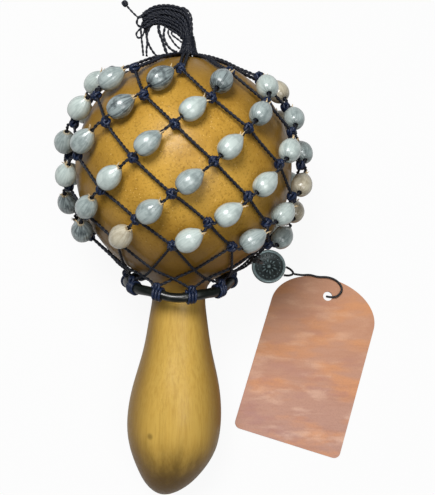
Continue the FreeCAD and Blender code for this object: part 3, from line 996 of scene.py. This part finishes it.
class RATTLE_OT_knots(bpy.types.Operator):
    """The seven rows of knots"""
    bl_idname = "rattle.knots"
    bl_label = "Knots"

    def execute(self, context):
        draw = random.Random(23)
        for row, letter in enumerate(ROWS):
            yarn = Yarn()
            for column in range(COLUMNS):
                centre = KNOTS[row, column]
                outward = (centre - lay(0, 0, HEAD_MID)).normalized()
                upright = square_to(outward, AXIS)
                sideways = upright.cross(outward)
                upright = (upright + sideways * draw.uniform(-0.35, 0.35)).normalized()
                yarn.wound_knot(centre, upright, KNOT_R * MM, sizes().knot_cord, any_turn(draw))
                self.loop(yarn, centre, upright, outward, draw)
            yarn.piece("row_" + letter, "net", "knot_cord", [knot_cord()], "knots_" + letter)
        return {"FINISHED"}

    @staticmethod
    def loop(yarn, centre, upright, outward, draw):
        """Last tuck of cord across the face of the knot."""
        sideways = upright.cross(outward)
        lean = draw.choice((-1, 1))
        points = []
        for turn in (-70, -35, 0, 35, 70):
            a = math.radians(turn)
            points.append(centre + spoke(outward, sideways, a) * 1.55 * MM
                          + upright * lean * 0.9 * math.sin(a) * MM)
        yarn.tube(eased(points, step=0.3 * MM), 0.42 * MM)


class RATTLE_OT_seeds(bpy.types.Operator):
    """The sixty seed beads, each node a piece"""
    bl_idname = "rattle.seeds"
    bl_label = "Seed beads"

    def execute(self, context):
        nodes = {}
        for seat in SEATS:
            nodes.setdefault(seat.node, []).append(seat)
        for node, group in sorted(nodes.items()):
            yarn = Yarn()
            for seat in sorted(group, key=lambda s: s.column):
                self.seed(yarn, seat)
            body = node if node in frame["bodies"] else "net"
            yarn.piece("seed_" + node[4:].strip("s_"), body, "seed_bead", seed_coats(), node)
        return {"FINISHED"}

    @staticmethod
    def seed(yarn, seat):
        draw = random.Random(100 * seat.row + seat.column)
        tone = SEED_TONES.get((seat.pair, seat.column))
        if tone is None:
            tone = draw.choices((PALE, GREY, DARK, BEIGE), (6, 4, 1, 1))[0]
        cross = seat.along.cross(seat.outward)
        width, half = seat.half_width, seat.half_length
        slim = draw.uniform(0.94, 0.995)
        ridges = draw.choice((3, 4, 5))
        phase = any_turn(draw)
        skew = draw.uniform(0.0, 0.05)
        outline = [(r * width, h * half) for r, h in SEED_OUTLINE]

        def wobble(turn, i):
            if i < 2 or i > SEED_LAST_OUTER:
                return 1.0
            ridge = abs(math.sin(ridges * (turn + phase) / 2))
            return slim * (1.0 - 0.022 * ridge - skew * (0.5 + 0.5 * math.cos(turn + phase)))

        def place(x, y, h):
            return seat.centre + cross * x + seat.outward * y + seat.along * h

        def shade_of(i):
            return tone if 1 <= i <= SEED_LAST_OUTER else BORE

        yarn.lathe(place, outline, 36, shade_of, wobble, start=-math.pi / 2)
        if draw.random() < 0.85 and seat.centre.z > 12 * MM:
            RATTLE_OT_seeds.stem(yarn, seat, draw)

    @staticmethod
    def stem(yarn, seat, draw):
        """Torn end of the stem at the pointed end."""
        cross = seat.along.cross(seat.outward)
        for _ in range(draw.choice((2, 3, 4))):
            a = any_turn(draw)
            out = cross * math.cos(a) + seat.outward * abs(math.sin(a))
            foot = seat.centre + seat.along * seat.half_length * 0.93 + out * 0.9 * MM
            tip = (foot + out * draw.uniform(0.3, 1.1) * MM
                   + seat.along * draw.uniform(0.7, 1.9) * MM)
            bend = foot.lerp(tip, 0.5) + seat.along * 0.35 * MM
            path = eased([foot, bend, tip], step=0.2 * MM)
            last = len(path) - 1
            yarn.tube(path, [0.33 * MM - 0.25 * MM * i / last for i in range(last + 1)], 6, STEM)


# ---- neck ring
class Ring:
    """Middle line of the neck ring, from the places of its hitches."""

    def __init__(self):
        centres = [sum(lump, Vector()) / len(lump) for lump in lumps("ring_hitches")]
        self.centre = sum(centres, Vector()) / len(centres)
        normal = Vector()
        ordered = sorted(centres, key=self.lon_of)
        for a, b in zip(ordered, ordered[1:] + ordered[:1]):
            normal += (a - self.centre).cross(b - self.centre)
        self.normal = normal.normalized()
        if self.normal.dot(AXIS) < 0:
            self.normal.negate()
        self.radius = sum((c - self.centre).length for c in centres) / len(centres)
        self.top = square_to(self.normal, UPPER)
        self.side = self.normal.cross(self.top)
        if self.side.x < 0:
            self.side.negate()

    @staticmethod
    def lon_of(point):
        x, y, _ = unlay(point)
        return math.atan2(x, -y)

    def at(self, lon):
        a = math.radians(lon)
        droop = sizes().ring_droop * max(0.0, math.cos(a)) ** 2
        uneven = (0.42 * math.sin(3 * a + 1.1) + 0.30 * math.sin(7 * a + 2.0)) * MM
        return (self.centre + spoke(self.top, self.side, a) * self.radius
                - AXIS * (droop + uneven))

    def around(self, lon, turn, reach):
        """Point on the ring's tube, turn degrees round from its outer side."""
        here = self.at(lon)
        out = (here - self.centre).normalized()
        return here + spoke(out, self.normal, math.radians(turn)) * reach

    def tie(self, lon):
        """Where a strand is tied to the ring, on its side towards the head."""
        return self.around(lon, 72, (RING_TUBE_R + HITCH_LIFT) * MM)


class RATTLE_OT_neck(bpy.types.Operator):
    """The rubber neck ring, the hitches wound on it and the strands tied to them"""
    bl_idname = "rattle.neck"
    bl_label = "Neck ring"

    def execute(self, context):
        ring = Ring()
        draw = random.Random(31)
        yarn = Yarn()
        path = [ring.at(360 * i / RING_STEPS) for i in range(RING_STEPS)]
        radii = []
        for i in range(RING_STEPS):
            a = i / RING_STEPS_PER_RADIAN
            swell = noise.noise(Vector((math.cos(a), math.sin(a), 0.0)) * 4.6)
            radii.append(RING_TUBE_R * MM * (1.0 + 0.16 * swell))
        yarn.tube(path, radii, 22, about=ring.centre)
        yarn.piece("rubber_ring", "net", "ring_rubber", [rubber_finish()], "neck_ring")
        yarn = Yarn()
        for column in range(COLUMNS):
            self.hitch(yarn, ring, FIRST_LON + PITCH * (column + 0.5), draw)
        yarn.piece("hitches", "net", "knot_cord", [knot_cord()], "ring_hitches")
        yarn = Yarn()
        for column in range(COLUMNS):
            for side in (-1, 1):
                self.strand(yarn, ring, column, side, draw)
        yarn.net_piece("neck_strands", "lower_strands")
        return {"FINISHED"}

    @staticmethod
    def hitch(yarn, ring, lon, draw):
        turns = draw.choice((3.5, 4.0, 4.5))
        wide = 5.2 + draw.uniform(-0.6, 0.8)
        steps = int(turns * 18)
        path = []
        for i in range(steps + 1):
            share = i / steps
            path.append(ring.around(lon - wide + 2 * wide * share, 360 * turns * share + 60,
                                    (RING_TUBE_R + HITCH_CORD * 0.42) * MM))
        yarn.tube(path, HITCH_CORD / 2 * MM)
        yarn.wound_knot(ring.tie(lon), ring.normal, 1.5 * MM, 0.95 * MM, any_turn(draw))

    @staticmethod
    def strand(yarn, ring, column, side, draw):
        lon = FIRST_LON + PITCH * column
        half = PITCH / 2
        over = 0.55 if side > 0 else -0.30
        points = [KNOTS[len(ROWS) - 1, column]]
        for share, (lat, lift) in zip((1, 2), CROSSINGS):
            clear = lift + over * (1.5 - 0.5 * share)
            points.append(over_head(lon + share * side * half, lat, clear))
        points.append(ring.tie(lon + 3 * side * half))
        yarn.strand(eased(points, 3.0 * MM), draw, 0.92)


# ---- crown and tuft
class RATTLE_OT_crown(bpy.types.Operator):
    """Twin strands over the crown, and the whipping that binds them"""
    bl_idname = "rattle.crown"
    bl_label = "Crown"

    def execute(self, context):
        draw = random.Random(47)
        yarn = Yarn()
        for column in range(COLUMNS):
            lon = FIRST_LON + PITCH * column
            low = KNOTS[0, column]
            x, y, s = unlay(low)
            across = (polar(lon + 90, 1, 0) - lay(0, 0, 0)).normalized()
            rise = HEAD_RADIUS + CROWN_LIFT
            points = [low]
            for r in (0.72, 0.5, 0.28):
                out = r * math.hypot(x, y)
                points.append(polar(lon, out, HEAD_MID + math.sqrt((rise + 0.2) ** 2 - out ** 2)))
            points.append(polar(lon, GATHER_R, HEAD_MID + math.sqrt(rise ** 2 - GATHER_R ** 2)))
            points.append(polar(lon, 2.2, HEAD_MID + rise + 3.0))
            for side in (-1, 1):
                own = [p + across * side * w * MM for p, w in
                       zip(points, (0.5, TWIN_GAP, 0.8, 0.7, 0.45, 0.2))]
                yarn.strand(eased(own, 1.6 * MM), draw, 0.95)
        yarn.net_piece("crown_cords", "crown_strands")
        self.whipping()
        return {"FINISHED"}

    @staticmethod
    def whipping():
        """Thread wound round the gathered strands, with a solid core inside it."""
        solid = [unlay(p) for p in lumps("tuft_whipping")[0]]
        foot = min(s for x, y, s in solid)
        top = max(s for x, y, s in solid)
        wide = max(math.hypot(x, y) for x, y, s in solid)
        slim = max(math.hypot(x, y) for x, y, s in solid if s > top - 0.1)
        thread = sizes().whipping_cord / MM
        turns = int((top - foot) / (thread * 0.92))
        path = []
        core = []
        for i in range(turns * 28 + 1):
            share = i / (turns * 28)
            r = wide + (slim - wide) * share ** 0.7 - thread / 2
            r *= 1.0 - 0.05 * math.sin(9 * share)
            s = foot + thread / 2 + (top - foot - thread) * share
            path.append(polar(360 * turns * share, r, s))
        for i in range(13):
            share = i / 12
            r = wide + (slim - wide) * share ** 0.7 - thread * 0.8
            core.append((r, foot + 0.3 + (top - foot - 0.6) * share))
        yarn = Yarn()
        yarn.tube(path, sizes().whipping_cord / 2)
        yarn.tube([lay(0, 0, s) for r, s in core], [r * MM for r, s in core], 20)
        yarn.net_piece("whipping", "tuft_whipping")


def in_plane(route, depth, draw=None, loose=0.0):
    """Route across and along the gourd, depth millimetres nearer its upper side."""
    points = []
    for i, (x, s) in enumerate(route):
        y = -depth * (1.0 if i else 0.6)
        if draw is not None:
            x += draw.uniform(-loose, loose)
            s += draw.uniform(-loose, loose)
            y += draw.uniform(-loose, loose)
        points.append(lay(x, y, s))
    return points


class RATTLE_OT_tuft(bpy.types.Operator):
    """The tuft of cord ends that hooks over to one side, and the stray end with its knot"""
    bl_idname = "rattle.tuft"
    bl_label = "Tuft"

    def execute(self, context):
        draw = random.Random(59)
        yarn = Yarn()
        for k in range(TUFT_STRANDS):
            share = k / (TUFT_STRANDS - 1)
            depth = 1.7 * math.sin(2.4 * k + 0.6)
            route = [(a[0] + (b[0] - a[0]) * share, a[1] + (b[1] - a[1]) * share)
                     for a, b in zip(TUFT_INNER, TUFT_OUTER)]
            path = eased(in_plane(route, depth, draw, 0.35), 4.0 * MM, TUFT_STEP)
            yarn.strand(path, draw, draw.uniform(0.78, 0.95))
        yarn.net_piece("tuft_band", "tuft_bundle")
        yarn = Yarn()
        for k, (route, depth) in enumerate(zip(LOOSE_ENDS, LOOSE_DEPTHS)):
            path = eased(in_plane(route, depth), 4.0 * MM, TUFT_STEP)
            yarn.strand(path, draw, 1.05 if k == THICK_END else draw.uniform(0.62, 0.8))
        yarn.net_piece("tuft_loose", "tuft_ends")
        yarn = Yarn()
        path = eased(in_plane(STRAY, 0.8), 3.0 * MM, TUFT_STEP)
        yarn.twisted(path, sizes().cord_width * 0.62, sizes().cord_turn)
        yarn.net_piece("stray_end", "stray_strand")
        yarn = Yarn()
        yarn.wound_knot(path[-1], (path[-1] - path[-3]).normalized(), 1.2 * MM, 0.75 * MM, 0.4)
        yarn.net_piece("stray_end_knot", "stray_knot")
        yarn = Yarn()
        centre = middle(lumps("string_knot")[0])
        yarn.wound_knot(centre, (Vector(SEAL_STRING_UPPER[1]) - centre).normalized(),
                        1.5 * MM, 0.9 * MM, 0.9)
        yarn.piece("string_tie", "net", "string", [thin_string()], "string_knot")
        return {"FINISHED"}


# ---- seal and tag
class RATTLE_OT_seal(bpy.types.Operator):
    """The cast seal, with a plain sunburst in its dish, and its eyelet"""
    bl_idname = "rattle.seal"
    bl_label = "Seal"

    def execute(self, context):
        low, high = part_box("seal_disc")
        centre = (low + high) / 2
        r = (high.x - low.x) / 2
        top = high.z - low.z
        yarn = Yarn()

        def place(x, y, h):
            return Vector((centre.x + x, centre.y + y, low.z + h))

        rim = 1.15 * MM
        dish = top - 0.55 * MM
        outline = [
            (0.02 * MM, 0.0), (r - 0.35 * MM, 0.0), (r - 0.08 * MM, 0.16 * MM), (r, 0.42 * MM),
            (r, top - 0.42 * MM), (r - 0.10 * MM, top - 0.14 * MM), (r - 0.36 * MM, top),
            (r - rim + 0.30 * MM, top - 0.02 * MM), (r - rim + 0.05 * MM, top - 0.16 * MM),
            (r - rim - 0.12 * MM, dish + 0.06 * MM), (r - rim - 0.35 * MM, dish),
            (0.02 * MM, dish + 0.05 * MM)]
        yarn.lathe(place, outline, 96)
        self.relief(yarn, place, r - rim, dish)
        yarn.piece("seal_face", "seal", "seal_metal", [seal_finish()], "seal_disc")
        for slot in frame["nodes"]["seal_eyelet"].material_slots:
            slot.material = thin_string()
        return {"FINISHED"}

    @staticmethod
    def relief(yarn, place, reach, dish):
        """Raised middle boss with short rays and pips round it."""
        lift = dish + 0.12 * MM
        for k in range(12):
            a = 2 * math.pi * k / 12 + 0.2
            near, far = (0.30, 0.62) if k % 2 else (0.30, 0.48)
            path = [place(math.cos(a) * reach * t, math.sin(a) * reach * t, lift)
                    for t in (near, (near + far) / 2, far)]
            yarn.tube(path, [0.30 * MM, 0.36 * MM, 0.20 * MM], 8)
        for k in range(18):
            a = 2 * math.pi * k / 18
            x, y = math.cos(a) * reach * 0.80, math.sin(a) * reach * 0.80
            yarn.tube([place(x, y, lift + h * MM) for h in (-0.2, 0.0, 0.2, 0.3)],
                      [r * MM for r in (0.40, 0.38, 0.26, 0.05)], 10)
        yarn.tube([place(0, 0, dish + h * MM) for h in (-0.1, 0.2, 0.42, 0.48)],
                  [r * MM for r in (0.95, 0.9, 0.6, 0.05)], 24)


class RATTLE_OT_tag(bpy.types.Operator):
    """The card hang tag, blank but for its mottled print"""
    bl_idname = "rattle.tag"
    bl_label = "Hang tag"

    def execute(self, context):
        finish = tag_finish()
        for slot in frame["nodes"]["hang_tag"].material_slots:
            slot.material = finish
        return {"FINISHED"}


OPERATORS = (RATTLE_OT_stage, RATTLE_OT_strings, RATTLE_OT_gourd, RATTLE_OT_net, RATTLE_OT_knots,
             RATTLE_OT_seeds, RATTLE_OT_neck, RATTLE_OT_crown, RATTLE_OT_tuft, RATTLE_OT_seal,
             RATTLE_OT_tag)


class RATTLE_PT_pieces(bpy.types.Panel):
    """Builds the rattle's pieces one group at a time"""
    bl_idname = "RATTLE_PT_pieces"
    bl_label = "Rattle"
    bl_space_type = "VIEW_3D"
    bl_region_type = "UI"
    bl_category = "Rattle"

    def draw(self, context):
        for group in (context.scene.rattle_sizes, context.scene.rattle_colours):
            for key in group.bl_rna.properties.keys():
                if key not in ("rna_type", "name"):
                    self.layout.prop(group, key)
        for operator in OPERATORS:
            self.layout.operator(operator.bl_idname)


CLASSES = (RattleSizes, RattleColours, *OPERATORS, RATTLE_PT_pieces)


def register():
    for cls in CLASSES:
        bpy.utils.register_class(cls)
    bpy.types.Scene.rattle_sizes = bpy.props.PointerProperty(type=RattleSizes)
    bpy.types.Scene.rattle_colours = bpy.props.PointerProperty(type=RattleColours)


def unregister():
    del bpy.types.Scene.rattle_colours
    del bpy.types.Scene.rattle_sizes
    for cls in reversed(CLASSES):
        bpy.utils.unregister_class(cls)


def main():
    register()
    bpy.ops.rattle.stage()
    bpy.ops.rattle.strings()
    bpy.ops.rattle.gourd()
    bpy.ops.rattle.net()
    bpy.ops.rattle.knots()
    bpy.ops.rattle.seeds()
    bpy.ops.rattle.neck()
    bpy.ops.rattle.crown()
    bpy.ops.rattle.tuft()
    bpy.ops.rattle.seal()
    bpy.ops.rattle.tag()


if __name__ == "__main__":
    main()
